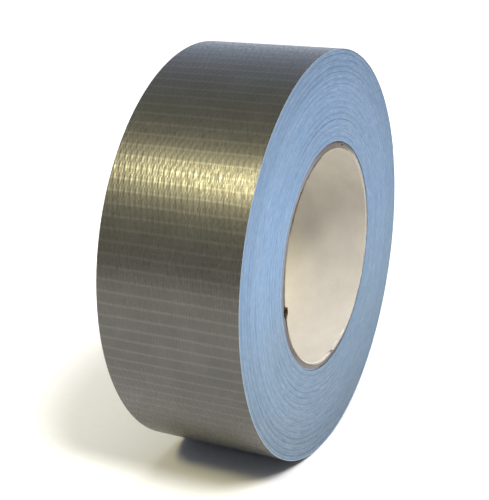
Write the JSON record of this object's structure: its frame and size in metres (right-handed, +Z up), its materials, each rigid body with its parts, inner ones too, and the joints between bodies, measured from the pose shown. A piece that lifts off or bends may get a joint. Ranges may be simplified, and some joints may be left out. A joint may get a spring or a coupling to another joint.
{
  "type": "duct tape roll",
  "caption": "Full roll of wide cloth duct tape on a paperboard core, standing on its rim, with a free end that peels off.",
  "frame": {"origin": "on the surface the roll stands on, under the middle of the roll", "axes": "+Y along the roll's axis, away from the front side face; +Z up, from the rim the roll stands on"},
  "size_m": [0.1447, 0.05, 0.1448],
  "materials": {
    "core_liner": "matte",
    "core_board": "matte",
    "tape_pack": "satin",
    "tape_adhesive": "satin",
    "tape_scrim": "matte",
    "tape_film": "satin"
  },
  "bodies": {
    "roll": {"core_liner": "core_liner", "core_ply_1": "core_board", "core_ply_2": "core_board", "core_ply_3": "core_board", "core_ply_4": "core_board", "tape_pack": "tape_pack", "outer_turn_adhesive": "tape_adhesive", "outer_turn_scrim": "tape_scrim", "outer_turn_film": "tape_film"},
    "free_end_1": {"free_end_1_adhesive": "tape_adhesive", "free_end_1_scrim": "tape_scrim", "free_end_1_film": "tape_film"},
    "free_end_2": {"free_end_2_adhesive": "tape_adhesive", "free_end_2_scrim": "tape_scrim", "free_end_2_film": "tape_film"},
    "free_end_3": {"free_end_3_adhesive": "tape_adhesive", "free_end_3_scrim": "tape_scrim", "free_end_3_film": "tape_film"},
    "free_end_4": {"free_end_4_adhesive": "tape_adhesive", "free_end_4_scrim": "tape_scrim", "free_end_4_film": "tape_film"}
  },
  "joints": [
    {"name": "tape_peel", "type": "hinge", "parent": "roll", "child": "free_end_1", "pos_m": [0.02992, 0, 0.13837], "axis": [0, -1, 0], "range_deg": [0, 30]},
    {"name": "tape_curl_2", "type": "hinge", "parent": "free_end_1", "child": "free_end_2", "pos_m": [0.04223, 0, 0.13127], "axis": [0, -1, 0], "range_deg": [0, 30]},
    {"name": "tape_curl_3", "type": "hinge", "parent": "free_end_2", "child": "free_end_3", "pos_m": [0.05293, 0, 0.1219], "axis": [0, -1, 0], "range_deg": [0, 30]},
    {"name": "tape_curl_4", "type": "hinge", "parent": "free_end_3", "child": "free_end_4", "pos_m": [0.06159, 0, 0.11063], "axis": [0, -1, 0], "range_deg": [0, 30]}
  ],
  "couplings": [
    {"joint": "tape_curl_2", "follows": "tape_peel", "ratio": 1},
    {"joint": "tape_curl_3", "follows": "tape_peel", "ratio": 1},
    {"joint": "tape_curl_4", "follows": "tape_peel", "ratio": 1}
  ]
}
